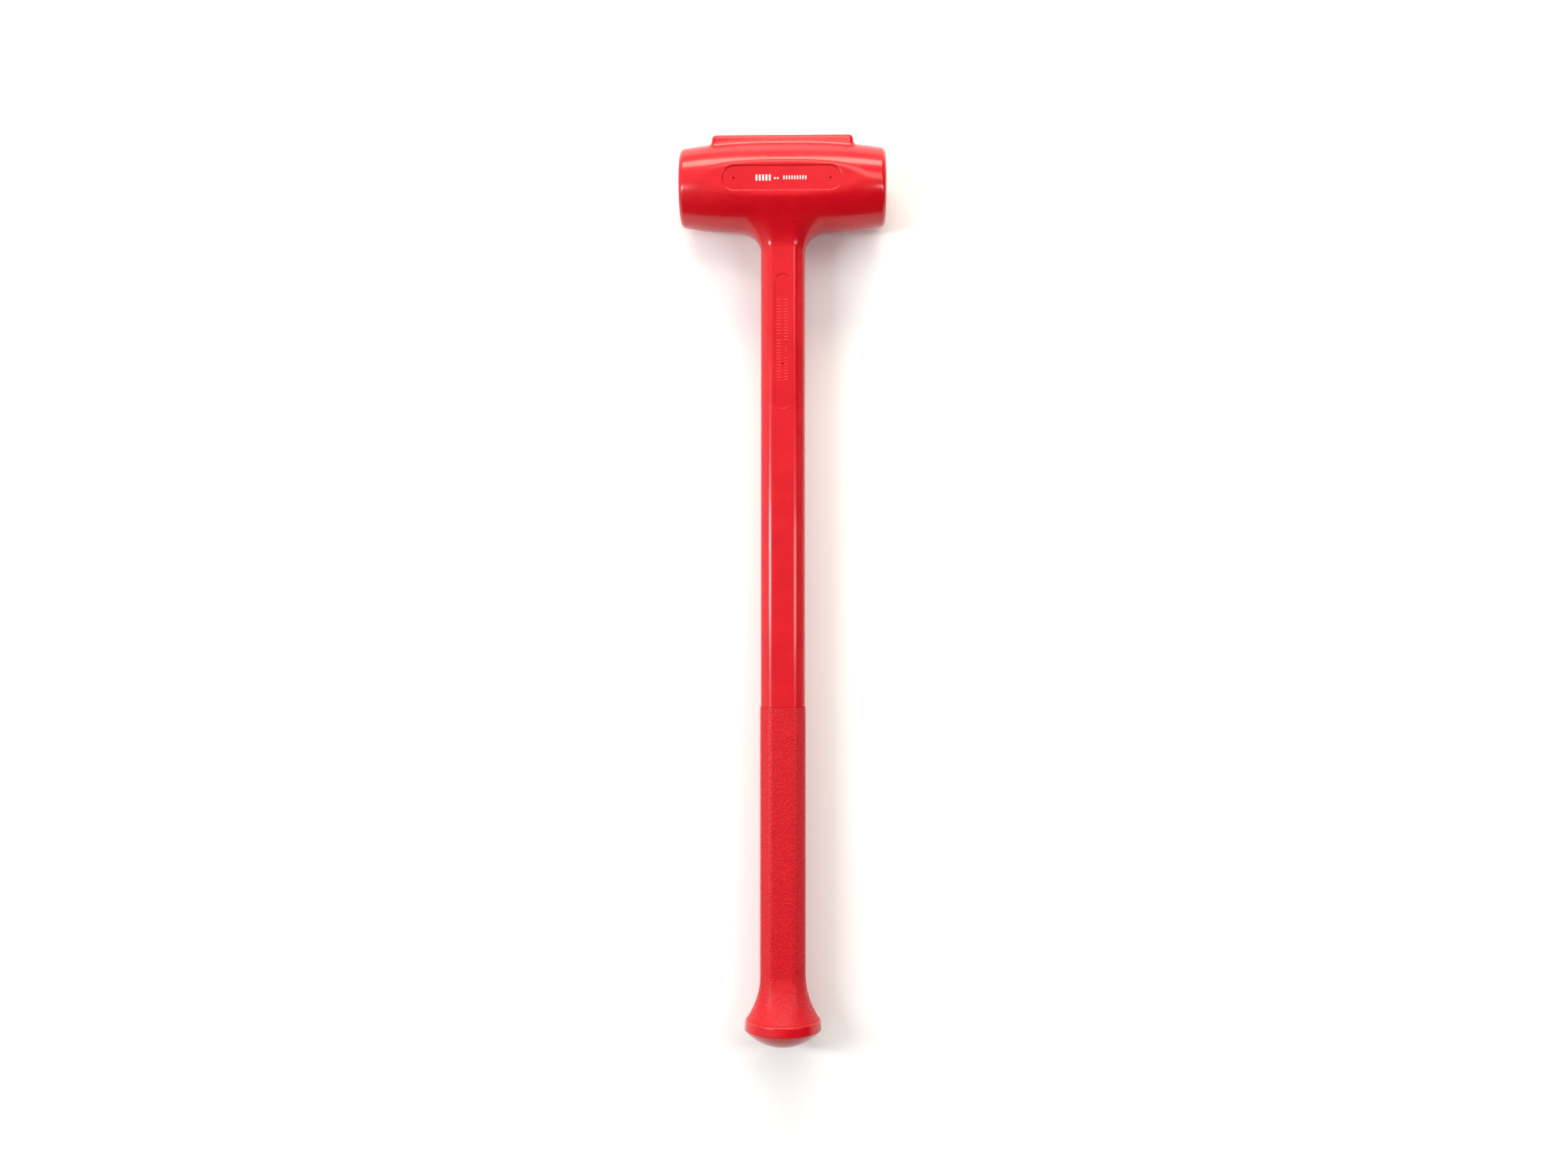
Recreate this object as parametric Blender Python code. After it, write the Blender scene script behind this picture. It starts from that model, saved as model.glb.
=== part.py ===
"""Dead-blow sledgehammer lying on its back: a cast urethane skin over a steel shot canister and tube.

Run with: blender --background --python part.py
Metres, +Z up. X runs along the striking head, +Y from the pommel to the head, and Z through the
thickness. The hammer lies with the rear flat of its head on Z = 0, the origin under its middle.
Every piece is modelled about the centre of the head, which the empty named head_centre places.
"""

import math

import bmesh
import bpy
from mathutils import Vector

# ---- Driving dimensions (metres) ----
HEAD_LENGTH = 0.2103  # over the two domed striking faces
HEAD_RADIUS = 0.0457  # at the middle of the barrel
HEAD_TAPER = 0.0059  # how much thinner the barrel is at TAPER_REACH from its middle
TAPER_REACH = 0.098
TAPER_POWER = 2.8
FACE_DOME = 0.0022  # crown on each striking face
FACE_EDGE = 0.0040  # rounding between barrel and face

FLAT_DEPTH = 0.0424  # head axis to the front flat, and to the rear one
PANEL_LENGTH = 0.1200  # recessed panel in each flat
PANEL_HEIGHT = 0.0262
PANEL_SINK = 0.0010

STAND_TOP = 0.0485  # head axis to the flat pad the hammer can stand on
STAND_LENGTH = 0.1420
STAND_WIDTH = 0.0510
STAND_EDGE = 0.0045

SHAFT_WIDTH = 0.0444  # along X
SHAFT_DEPTH = 0.0400  # along Z
SHAFT_FACET = 0.0092  # leg of each 45-degree facet
SHAFT_CORNER = 0.0080  # rounding between facets
NECK_FILLET = 0.0220  # between shaft and barrel
NECK_SINK = 0.0003  # the fillet ends this far inside the barrel, so that the two join cleanly

# Distances along the handle are measured from the head axis.
LABEL_START = 0.0905
LABEL_END = 0.2266
LABEL_WIDTH = 0.0164
LABEL_SINK = 0.0006
GRIP_START = 0.5247
GRIP_PROUD = 0.0004  # the pebbled sleeve stands this far outside the shaft
FLARE_START = 0.7931
FLARE_RADIUS = 0.0800  # of the arc that opens the grip into the pommel
FLARE_END = 0.8371
BAND_START = 0.8379
BAND_END = 0.8491
BAND_TOP_RADIUS = 0.0380
BAND_RADIUS = 0.0387
BAND_SHOULDER = 0.0024  # rounding at the band's upper edge
BAND_EDGE = 0.0010  # and at its lower one
POMMEL_END = 0.8659

PIN_RADIUS = 0.0007  # marks left by the pins that held the steel in the mould
HEAD_PIN = 0.0481
SHAFT_PIN = 0.1812
GRIP_PIN = 0.6966

CANISTER_RADIUS = 0.0365  # 73 mm pipe
CANISTER_WALL = 0.0070
CANISTER_LENGTH = 0.1600
PLATE_THICK = 0.0160
PLATE_INSET = 0.0040  # the plates sit this far inside the ends of the pipe
SHOT_LENGTH = 0.0920  # along the bottom of the charge
SHOT_LEVEL = 0.0100  # its surface above the canister's axis
SHOT_SLOPE = 0.0090  # each end runs in by this much at the surface

TUBE_RADIUS = 0.0127  # 25.4 mm handle tube
TUBE_WALL = 0.0030
TUBE_END = 0.8454
COLLAR_RADIUS = 0.0190
COLLAR_END = 0.0600
PLUG_RADIUS = 0.0190
PLUG_FLANGE = 0.0050
PLUG_DEPTH = 0.0200

GAP = 0.0003  # clearance between touching pieces
CHAMFER = 0.0010

ROUND_STEPS = 48
CORNER_STEPS = 3
NECK_STEPS = 7
FLARE_STEPS = 8

# ---- Worked out from those ----
HEAD_Y = (STAND_TOP + POMMEL_END) / 2 - STAND_TOP
BORE_RADIUS = CANISTER_RADIUS - CANISTER_WALL
CHAMBER_HALF = CANISTER_LENGTH / 2 - PLATE_INSET - PLATE_THICK

RED_GLOSS = (0.560, 0.010, 0.022)
RED_GRAINED = (0.520, 0.010, 0.022)


# ---- Helpers ----
def clear_scene():
    for obj in list(bpy.data.objects):
        bpy.data.objects.remove(obj)


def make_head_centre():
    empty = bpy.data.objects.new("head_centre", None)
    empty.location = (0, HEAD_Y, FLAT_DEPTH)
    bpy.context.scene.collection.objects.link(empty)


def make_material(name, colour, roughness, metallic):
    material = bpy.data.materials.new(name)
    material.use_nodes = True
    shader = material.node_tree.nodes["Principled BSDF"]
    shader.inputs["Base Color"].default_value = (*colour, 1.0)
    shader.inputs["Roughness"].default_value = roughness
    shader.inputs["Metallic"].default_value = metallic
    return material


def make_object(name, bm, material=None):
    """Turns a bmesh into a named object placed by head_centre; without a material it is a cutter."""
    bmesh.ops.remove_doubles(bm, verts=bm.verts, dist=1e-6)
    bmesh.ops.recalc_face_normals(bm, faces=bm.faces)
    mesh = bpy.data.meshes.new(name)
    bm.to_mesh(mesh)
    bm.free()
    mesh.shade_smooth()
    mesh.set_sharp_from_angle(angle=math.radians(35))
    obj = bpy.data.objects.new(name, mesh)
    obj.parent = bpy.data.objects["head_centre"]
    bpy.context.scene.collection.objects.link(obj)
    if material:
        mesh.materials.append(material)
    else:
        obj.hide_render = True
        obj.display_type = "WIRE"
    return obj


def boolean(obj, other, operation="DIFFERENCE"):
    modifier = obj.modifiers.new(other.name, "BOOLEAN")
    modifier.operation = operation
    modifier.solver = "EXACT"
    modifier.object = other


def box(size, centre):
    bm = bmesh.new()
    bmesh.ops.create_cube(bm, size=1.0)
    bmesh.ops.scale(bm, vec=size, verts=bm.verts)
    bmesh.ops.translate(bm, vec=centre, verts=bm.verts)
    return bm


def loft(rings):
    """A closed body through rings of equal point counts, capped at both ends."""
    bm = bmesh.new()
    loops = [[bm.verts.new(point) for point in ring] for ring in rings]
    for near, far in zip(loops, loops[1:]):
        for i in range(len(near)):
            bm.faces.new((near[i - 1], near[i], far[i], far[i - 1]))
    bm.faces.new(loops[0])
    bm.faces.new(reversed(loops[-1]))
    return bm


def turned(profile, axis, closed=False):
    """Spins (radius, distance) points about the X or the Y axis.

    An open profile starts and ends on the axis. A closed one is the section of a ring.
    """
    along = Vector((1, 0, 0)) if axis == "X" else Vector((0, 1, 0))
    bm = bmesh.new()
    verts = [bm.verts.new(Vector((0, 0, radius)) + along * distance) for radius, distance in profile]
    edges = [bm.edges.new(pair) for pair in zip(verts, verts[1:])]
    if closed:
        edges.append(bm.edges.new((verts[-1], verts[0])))
    bmesh.ops.spin(bm, geom=verts + edges, axis=along, cent=(0, 0, 0),
                   angle=math.tau, steps=ROUND_STEPS, use_merge=True)
    return bm


def arc(centre, radius, start, end, steps):
    """Points round a centre, from one angle to another in degrees."""
    angles = [math.radians(start + (end - start) * i / steps) for i in range(steps + 1)]
    return [(centre[0] + radius * math.cos(a), centre[1] + radius * math.sin(a)) for a in angles]


def stadium_prism(long_axis, length, height, centre, low, high, steps=10):
    """A flat shape with round ends, standing from low to high in Z."""
    reach = (length - height) / 2
    outline = (arc((reach, 0), height / 2, -90, 90, steps)
               + arc((-reach, 0), height / 2, 90, 270, steps))
    if long_axis == "Y":
        outline = [(-v, u) for u, v in outline]
    return loft([[(centre[0] + u, centre[1] + v, z) for u, v in outline] for z in (low, high)])


def rod(radius, centre, low, high, steps=10):
    """A short round bar along Z."""
    return loft([[(u, v, z) for u, v in arc(centre, radius, 0, 360, steps)[:-1]]
                 for z in (low, high)])


# ---- Outlines ----
def barrel_radius(x):
    return HEAD_RADIUS - HEAD_TAPER * (abs(x) / TAPER_REACH) ** TAPER_POWER


def barrel_profile():
    """(radius, x) from the centre of one striking face, along the barrel, to the other's."""
    rim_x = HEAD_LENGTH / 2 - FACE_DOME
    shoulder = rim_x - FACE_EDGE
    flat = barrel_radius(shoulder) - FACE_EDGE
    side = [(barrel_radius(x), x) for x in (0.026, 0.046, 0.060, 0.072, 0.082, 0.091)]
    side += [(flat + u, v) for v, u in arc((shoulder, 0), FACE_EDGE, 90, 0, 4)]
    side += [(flat * s, rim_x + FACE_DOME * (1 - s * s)) for s in (0.8, 0.55, 0.28, 0.0)]
    return [(radius, -x) for radius, x in reversed(side)] + [(HEAD_RADIUS, 0.0)] + side


def facet_section(proud=0.0):
    """The handle's eight-sided section as (x, z, normal x, normal z), corners rounded."""
    wide, deep = SHAFT_WIDTH / 2 + proud, SHAFT_DEPTH / 2 + proud
    quarter = []
    for x, z, middle in ((wide, deep - SHAFT_FACET, 22.5), (wide - SHAFT_FACET, deep, 67.5)):
        inset = SHAFT_CORNER / math.cos(math.radians(22.5))
        centre = (x - inset * math.cos(math.radians(middle)),
                  z - inset * math.sin(math.radians(middle)))
        points = arc(centre, SHAFT_CORNER, middle - 22.5, middle + 22.5, CORNER_STEPS)
        quarter += [(u, v, (u - centre[0]) / SHAFT_CORNER, (v - centre[1]) / SHAFT_CORNER)
                    for u, v in points]
    half = quarter + [(-x, z, -nx, nz) for x, z, nx, nz in reversed(quarter)]
    return half + [(-x, -z, -nx, -nz) for x, z, nx, nz in half]


def fillet_column(x, z, nx, nz):
    """Points of the neck's fillet above one point of the handle's section.

    At each turn of a quarter circle the fillet is R(1 - cos) from the handle and R(1 - sin) from the
    barrel, so it leaves the one and meets the other smoothly all the way round.
    """
    column = []
    for step in range(NECK_STEPS + 1):
        turn = math.pi / 2 * step / NECK_STEPS
        out = NECK_FILLET * (1 - math.cos(turn))
        u, v = x + nx * out, z + nz * out
        reach = barrel_radius(u) + NECK_FILLET * (1 - math.sin(turn)) - NECK_SINK
        column.append((u, -math.sqrt(reach ** 2 - v ** 2), v))
    return column


def handle_rings():
    """Rings from the top of the grip up to the barrel, then a last one hidden inside it."""
    section = facet_section()
    columns = [fillet_column(*point) for point in section]
    rings = [[(x, -GRIP_START, z) for x, z, _, _ in section]]
    rings += [[column[step] for column in columns] for step in range(NECK_STEPS + 1)]
    rings.append([(x * 0.9, -0.015, z * 0.9) for x, z, _, _ in section])
    return rings


def flare_rings():
    """Rings of the grip: straight, then opening on an arc while the facets fade to a circle."""
    section = facet_section(GRIP_PROUD)
    rings = [[(x, -(GRIP_START + GAP), z) for x, z, _, _ in section]]
    for step in range(FLARE_STEPS + 1):
        share = step / FLARE_STEPS
        drop = (FLARE_END - FLARE_START) * share
        offset = FLARE_RADIUS - math.sqrt(FLARE_RADIUS ** 2 - drop ** 2)
        fade = share * share * (3 - 2 * share)
        ring = []
        for x, z, nx, nz in section:
            u, v = x + nx * offset, z + nz * offset
            scale = (SHAFT_WIDTH / 2 + GRIP_PROUD + offset) / math.hypot(u, v)
            ring.append((u * (1 - fade + fade * scale), -(FLARE_START + drop),
                         v * (1 - fade + fade * scale)))
        rings.append(ring)
    rings.append([(x, -(BAND_START - GAP), z) for x, _, z in rings[-1]])
    return rings


# ---- Cutters ----
def make_cutters():
    """Room for the steel, cut with the clearance that every touching pair keeps."""
    half = CANISTER_LENGTH / 2 + GAP
    room = CANISTER_RADIUS + GAP
    canister = make_object("room_canister", turned([(0, -half), (room, -half), (room, half), (0, half)], "X"))
    bore = TUBE_RADIUS + GAP
    tube = make_object("room_tube", turned([(0, -0.9), (bore, -0.9), (bore, -0.02), (0, -0.02)], "Y"))
    outer = COLLAR_RADIUS + GAP
    bottom = -(COLLAR_END + GAP)
    collar = make_object("room_collar", turned([(0, bottom), (outer, bottom), (outer, -0.02), (0, -0.02)], "Y"))
    return canister, tube, collar


# ---- Urethane pieces ----
def make_skin(material, canister, tube, collar):
    """Head, neck and bare shaft, cast in one round the steel."""
    skin = make_object("cast_skin", turned(barrel_profile(), "X"), material)

    shaft = make_object("form_shaft", loft(handle_rings()))
    boolean(skin, shaft, "UNION")

    pad = box((STAND_LENGTH, STAND_TOP - 0.020, STAND_WIDTH), (0, (STAND_TOP + 0.020) / 2, 0))
    outer = [e for e in pad.edges if not all(v.co.y < 0.03 for v in e.verts)]
    bmesh.ops.bevel(pad, geom=outer, offset=STAND_EDGE, segments=3, profile=0.5, affect="EDGES")
    boolean(skin, make_object("form_stand", pad), "UNION")

    for side, name in ((1, "front"), (-1, "rear")):
        slab = box((0.30, 0.12, 0.02), (0, 0, side * (FLAT_DEPTH + 0.01)))
        boolean(skin, make_object(f"cut_flat_{name}", slab))
        inner, outer = side * (FLAT_DEPTH - PANEL_SINK), side * (FLAT_DEPTH + 0.01)
        panel = stadium_prism("X", PANEL_LENGTH, PANEL_HEIGHT, (0, 0), inner, outer)
        boolean(skin, make_object(f"cut_panel_{name}", panel))
        for x, hand in ((-HEAD_PIN, "left"), (HEAD_PIN, "right")):
            pin = rod(PIN_RADIUS, (x, 0), side * 0.034, side * 0.048)
            boolean(skin, make_object(f"cut_pin_{name}_{hand}", pin))
        pin = rod(PIN_RADIUS, (0, -SHAFT_PIN), side * 0.010, side * 0.024)
        boolean(skin, make_object(f"cut_pin_shaft_{name}", pin))

    floor = SHAFT_DEPTH / 2 - LABEL_SINK
    middle = -(LABEL_START + LABEL_END) / 2
    slot = stadium_prism("Y", LABEL_END - LABEL_START, LABEL_WIDTH, (0, middle), floor, 0.03, 8)
    boolean(skin, make_object("cut_label_slot", slot))

    for cutter in (canister, tube, collar):
        boolean(skin, cutter)


def make_grip(material, tube):
    grip = make_object("grip_sleeve", loft(flare_rings()), material)
    boolean(grip, tube)
    for side, name in ((1, "front"), (-1, "rear")):
        pin = rod(PIN_RADIUS, (0, -GRIP_PIN), side * 0.010, side * 0.024)
        boolean(grip, make_object(f"cut_pin_grip_{name}", pin))


def make_pommel(material):
    """Smooth end cap, with a socket for the tube and the flange that anchors it."""
    bore, room = TUBE_RADIUS + GAP, PLUG_RADIUS + GAP
    ceiling = TUBE_END
    floor = TUBE_END + GAP + PLUG_FLANGE + GAP
    profile = [(0, -floor), (room, -floor), (room, -ceiling), (bore, -ceiling), (bore, -BAND_START)]
    profile += arc((BAND_TOP_RADIUS - BAND_SHOULDER, -BAND_START - BAND_SHOULDER),
                   BAND_SHOULDER, 90, 0, 4)
    profile += arc((BAND_RADIUS - BAND_EDGE, -BAND_END + BAND_EDGE), BAND_EDGE, 0, -55, 3)
    crown = POMMEL_END - BAND_END
    rim = BAND_RADIUS - BAND_EDGE
    sphere = (rim ** 2 + crown ** 2) / (2 * crown)
    for share in (0.88, 0.72, 0.54, 0.36, 0.18, 0.0):
        radius = rim * share
        profile.append((radius, -POMMEL_END + sphere - math.sqrt(sphere ** 2 - radius ** 2)))
    make_object("pommel_cap", turned(profile, "Y"), material)


# ---- Steel pieces ----
def make_canister(material):
    outer, inner, half = CANISTER_RADIUS, BORE_RADIUS, CANISTER_LENGTH / 2
    section = [(inner, -half), (outer - CHAMFER, -half), (outer, -half + CHAMFER),
               (outer, half - CHAMFER), (outer - CHAMFER, half), (inner, half)]
    make_object("canister_pipe", turned(section, "X", closed=True), material)


def make_end_plates(material):
    radius = BORE_RADIUS - GAP
    for side, name in ((-1, "left"), (1, "right")):
        near, far = side * CHAMBER_HALF, side * (CHAMBER_HALF + PLATE_THICK)
        profile = [(0, near), (radius, near), (radius, far - side * 2 * CHAMFER),
                   (radius - 2 * CHAMFER, far), (0, far)]
        make_object(f"end_plate_{name}", turned(profile, "X"), material)


def make_shot(material):
    """The steel of the loose shot as one block, level on top and sloping at its ends."""
    radius = BORE_RADIUS - GAP
    rise = math.degrees(math.asin(SHOT_LEVEL / radius))
    section = arc((0, 0), radius, 180 - rise, 360 + rise, 32)
    rings = []
    for side in (-1, 1):
        rings.append([(side * (SHOT_LENGTH / 2 - SHOT_SLOPE * (z + radius) / (SHOT_LEVEL + radius)), y, z)
                      for y, z in section])
    make_object("shot_charge", loft(rings), material)


def make_handle_steel(material, canister):
    """Tube and collar, both coped to sit on the canister, and the plug that ends the tube."""
    outer, inner = TUBE_RADIUS, TUBE_RADIUS - TUBE_WALL
    section = [(inner, -TUBE_END), (outer, -TUBE_END), (outer, -0.02), (inner, -0.02)]
    boolean(make_object("handle_tube", turned(section, "Y", closed=True), material), canister)

    inner, outer = TUBE_RADIUS + GAP, COLLAR_RADIUS
    section = [(inner, -COLLAR_END), (outer - 2 * CHAMFER, -COLLAR_END),
               (outer, -COLLAR_END + 2 * CHAMFER), (outer, -0.025), (inner, -0.025)]
    boolean(make_object("neck_collar", turned(section, "Y", closed=True), material), canister)

    spigot = TUBE_RADIUS - TUBE_WALL - GAP
    top, seat = -(TUBE_END - PLUG_DEPTH), -(TUBE_END + GAP)
    profile = [(0, top), (spigot - CHAMFER, top), (spigot, top - CHAMFER), (spigot, seat),
               (PLUG_RADIUS, seat), (PLUG_RADIUS, seat - PLUG_FLANGE), (0, seat - PLUG_FLANGE)]
    make_object("anchor_plug", turned(profile, "Y"), material)


def main():
    clear_scene()
    make_head_centre()
    gloss = make_material("red_urethane", RED_GLOSS, 0.28, 0.0)
    grained = make_material("grained_urethane", RED_GRAINED, 0.50, 0.0)
    pipe = make_material("pipe_steel", (0.30, 0.30, 0.31), 0.45, 1.0)
    plate = make_material("plate_steel", (0.42, 0.42, 0.43), 0.38, 1.0)
    shot = make_material("shot_steel", (0.50, 0.50, 0.52), 0.30, 1.0)
    canister, tube, collar = make_cutters()
    make_skin(gloss, canister, tube, collar)
    make_grip(grained, tube)
    make_pommel(gloss)
    make_canister(pipe)
    make_end_plates(plate)
    make_shot(shot)
    make_handle_steel(pipe, canister)


main()
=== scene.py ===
# %% [markdown]
# # A dead-blow sledgehammer
# The hammer is a steel canister, partly filled with loose shot, welded to a steel tube. Red urethane is
# cast round both, so one soft skin covers head, neck and handle. On a hard blow the shot slides and
# lands just after the head does, which takes the bounce out of it.
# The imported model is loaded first. It fixes every size, so places are read from it and not retyped.

# %% Load the frame
import math
from itertools import product

import bmesh
import bpy
import numpy as np
from mathutils import Matrix, Vector
from mathutils.bvhtree import BVHTree


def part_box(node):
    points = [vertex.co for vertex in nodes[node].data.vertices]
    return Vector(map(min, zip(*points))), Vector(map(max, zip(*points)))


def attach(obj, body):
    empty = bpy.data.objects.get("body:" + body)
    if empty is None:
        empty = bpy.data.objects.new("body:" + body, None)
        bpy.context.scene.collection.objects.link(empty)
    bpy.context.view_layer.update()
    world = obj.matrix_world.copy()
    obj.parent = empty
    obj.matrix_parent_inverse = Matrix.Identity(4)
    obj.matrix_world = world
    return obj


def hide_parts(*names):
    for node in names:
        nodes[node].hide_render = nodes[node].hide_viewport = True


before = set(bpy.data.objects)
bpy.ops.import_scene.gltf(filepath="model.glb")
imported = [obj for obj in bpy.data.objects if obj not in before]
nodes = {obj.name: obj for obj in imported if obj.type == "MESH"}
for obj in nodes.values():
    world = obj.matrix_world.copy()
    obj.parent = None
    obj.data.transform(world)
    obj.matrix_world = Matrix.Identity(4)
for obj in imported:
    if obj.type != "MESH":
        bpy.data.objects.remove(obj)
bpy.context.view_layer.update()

print("nodes:", ", ".join(sorted(nodes)))

# %% [markdown]
# ## The camera
# The hammer lies on its back and the camera hangs over it, a little towards the pommel and a little to
# the right, so the head is seen slightly from below. A lens near 38 mm at 1.7 m keeps the head and the
# pommel in natural proportion. The camera comes first, because everything else is judged through it.

# %% Sizes read from the frame
pipe_low, pipe_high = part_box("canister_pipe")
skin_low, skin_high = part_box("cast_skin")
grip_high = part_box("grip_sleeve")[1]
cap_low, cap_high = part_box("pommel_cap")
head = (pipe_low + pipe_high) / 2  # centre of the head
half_length = skin_high.x
flat_depth = skin_high.z - head.z
stand_top = skin_high.y - head.y
shaft_end = head.y - skin_low.y
print("head centre", tuple(round(c, 4) for c in head), "half length", round(half_length, 4))

# %% Camera
CAMERA_DISTANCE = 1.671
CAMERA_TURN = math.radians(1.5)
camera = bpy.data.objects.new("camera", bpy.data.cameras.new("camera"))
bpy.context.scene.collection.objects.link(camera)
bpy.context.scene.camera = camera
camera.data.lens = 38.0
camera.data.sensor_width = 36.0
target = Vector((0.001, head.y - 0.4055, head.z))
camera.location = (target.x + CAMERA_DISTANCE * math.sin(CAMERA_TURN), head.y - 0.437,
                   head.z + CAMERA_DISTANCE * math.cos(CAMERA_TURN))
back = (camera.location - target).normalized()
right = Vector((0, 1, 0)).cross(back).normalized()
aimed = Matrix((right, back.cross(right), back)).transposed().to_4x4()
camera.matrix_world = Matrix.Translation(camera.location) @ aimed
print("camera at", tuple(round(c, 3) for c in camera.location))

# %% [markdown]
# ## Floor and light
# A pale floor and a few large soft lamps, as in a small product studio. The strongest lamp is high on
# the head's side and to the left, a weaker one fills in from the right, and the right and pommel sides
# stay darker. That is what draws the long soft streaks on the facets and leaves the underside deep red.

# %% Helpers for node trees
def add_node(tree, kind, inputs=None, **settings):
    """Adds a node, sets its properties, then fills its inputs with constants or links."""
    node = tree.nodes.new(kind)
    for name, value in settings.items():
        setattr(node, name, value)
    for key, value in (inputs or {}).items():
        if isinstance(value, bpy.types.NodeSocket):
            tree.links.new(value, node.inputs[key])
        else:
            node.inputs[key].default_value = value
    return node


def math_node(tree, operation, a, b=0.0, c=0.0, clamp=False):
    node = add_node(tree, "ShaderNodeMath", {0: a, 1: b, 2: c}, operation=operation, use_clamp=clamp)
    return node.outputs[0]


def remap(tree, value, low, high, to_low=0.0, to_high=1.0, smooth=True):
    kind = "SMOOTHSTEP" if smooth else "LINEAR"
    node = add_node(tree, "ShaderNodeMapRange", {"Value": value, "From Min": low, "From Max": high,
                                                 "To Min": to_low, "To Max": to_high},
                    interpolation_type=kind)
    return node.outputs["Result"]


def mix_colour(tree, share, first, second):
    node = add_node(tree, "ShaderNodeMix", {0: share, 6: first, 7: second}, data_type="RGBA")
    return node.outputs[2]


def new_material(name, **sockets):
    """A material with one Principled BSDF, whose plain numbers are set on the shader itself."""
    material = bpy.data.materials.new(name)
    material.use_nodes = True
    shader = material.node_tree.nodes["Principled BSDF"]
    for key, value in sockets.items():
        shader.inputs[key.replace("_", " ")].default_value = value
    return material, material.node_tree, shader


# %% Floor
floor_material, tree, shader = new_material("pale_floor", Roughness=0.75)
place = add_node(tree, "ShaderNodeTexCoord").outputs["Object"]
patches = add_node(tree, "ShaderNodeTexNoise", {"Vector": place, "Scale": 3.0, "Detail": 3.0})
tint = mix_colour(tree, patches.outputs[0], (0.91, 0.91, 0.91, 1), (0.94, 0.94, 0.935, 1))
tree.links.new(tint, shader.inputs["Base Color"])
shader.inputs["Specular IOR Level"].default_value = 0.2

bm = bmesh.new()
bmesh.ops.create_grid(bm, x_segments=1, y_segments=1, size=6.0)
floor_mesh = bpy.data.meshes.new("floor")
bm.to_mesh(floor_mesh)
bm.free()
floor = bpy.data.objects.new("floor", floor_mesh)
floor.location.z = -0.0002  # just clear of the rear flat, which lies on z = 0
floor_mesh.materials.append(floor_material)
bpy.context.scene.collection.objects.link(floor)

# %% Lamps
def lamp(name, place, aim, size, power, colour=(1.0, 1.0, 1.0)):
    """A rectangular soft lamp that points at a place and doesn't show itself to the camera."""
    data = bpy.data.lights.new(name, "AREA")
    data.shape = "RECTANGLE"
    data.size, data.size_y = size
    data.energy, data.color = power, colour
    obj = bpy.data.objects.new(name, data)
    obj.location = place
    obj.rotation_mode = "QUATERNION"
    obj.rotation_quaternion = (Vector(place) - Vector(aim)).to_track_quat("Z", "Y")
    obj.visible_camera = False
    bpy.context.scene.collection.objects.link(obj)


lamp("overhead", (-0.1, 2.18, 1.06), (0.0, 0.35, 0.05), (2.2, 0.6), 43.0, (1.0, 0.89, 0.72))
lamp("left_strip", (-1.47, 0.10, 1.65), (0.0, 0.05, 0.04), (0.30, 1.2), 25.0)
lamp("right_strip", (1.40, 0.05, 1.62), (0.0, 0.05, 0.04), (0.30, 1.5), 12.5)
lamp("head_front", (0.60, 1.42, 2.30), (0.0, 0.40, 0.04), (2.4, 0.6), 19.0, (1.0, 0.95, 0.86))

world = bpy.data.worlds.new("studio")
bpy.context.scene.world = world
world.use_nodes = True
tree = world.node_tree
sky = tree.nodes["Background"]
direction = add_node(tree, "ShaderNodeTexCoord").outputs["Generated"]
axes = add_node(tree, "ShaderNodeSeparateXYZ", {0: direction})
leftness = math_node(tree, "MULTIPLY", axes.outputs[0], -1.0)
glow = math_node(tree, "ADD", leftness, axes.outputs[1])
dim = remap(tree, glow, -0.8, 0.9, 0.05, 0.95)
seen = add_node(tree, "ShaderNodeLightPath").outputs["Is Camera Ray"]
level = add_node(tree, "ShaderNodeMix", {0: seen, 2: dim, 3: 1.0})
sky.inputs["Color"].default_value = (1, 1, 1, 1)
tree.links.new(level.outputs[0], sky.inputs["Strength"])
bpy.context.scene.view_settings.view_transform = "Standard"

# %% [markdown]
# ## The shape of the skin
# The casting has no sharp joints: barrel, stand pad, neck and handle flow into each other in fillets
# that change width as they go round. Bevelling Boolean edges can't follow that, so the skin is made as
# an implicit surface. Each form is a formula that gives the distance to its surface, negative inside.
# Two formulas join through a quarter circle, and that circle is the fillet.

# %% Rules for joining distances
def rounded_cut(a, b, radius):
    """What lies inside both a and b, with their edge rounded."""
    outside = np.hypot(np.maximum(a + radius, 0), np.maximum(b + radius, 0))
    return outside + np.minimum(np.maximum(a, b) + radius, 0) - radius


def filleted_join(a, b, radius):
    """What lies inside a or b, with their corner filled by an arc."""
    return np.maximum(radius, np.minimum(a, b)) - np.hypot(np.maximum(radius - a, 0),
                                                           np.maximum(radius - b, 0))


# %% The barrel and its flats
HEAD_RADIUS, HEAD_TAPER, TAPER_REACH, TAPER_POWER = 0.0457, 0.0059, 0.098, 2.8
FACE_DOME, FACE_EDGE = 0.0022, 0.0040
FLAT_BORDER = 0.0008


def barrel_distance(x, y, z):
    """A crowned barrel with domed faces, cut by the front and the rear flat."""
    radius = HEAD_RADIUS - HEAD_TAPER * (np.abs(x) / TAPER_REACH) ** TAPER_POWER
    away = np.hypot(y, z)
    dome = half_length - FACE_DOME * (away / (HEAD_RADIUS - HEAD_TAPER)) ** 2
    barrel = rounded_cut(away - radius, np.abs(x) - dome, FACE_EDGE)
    return rounded_cut(barrel, np.abs(z) - flat_depth, FLAT_BORDER)


# %% The stand pad
STAND_HALF_LENGTH, STAND_HALF_WIDTH, STAND_EDGE, STAND_FILLET = 0.0707, 0.0250, 0.0045, 0.0040
STAND_DRAFT = 0.05
STAND_FOOT = 0.012  # the block ends here, well inside the barrel


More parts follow.
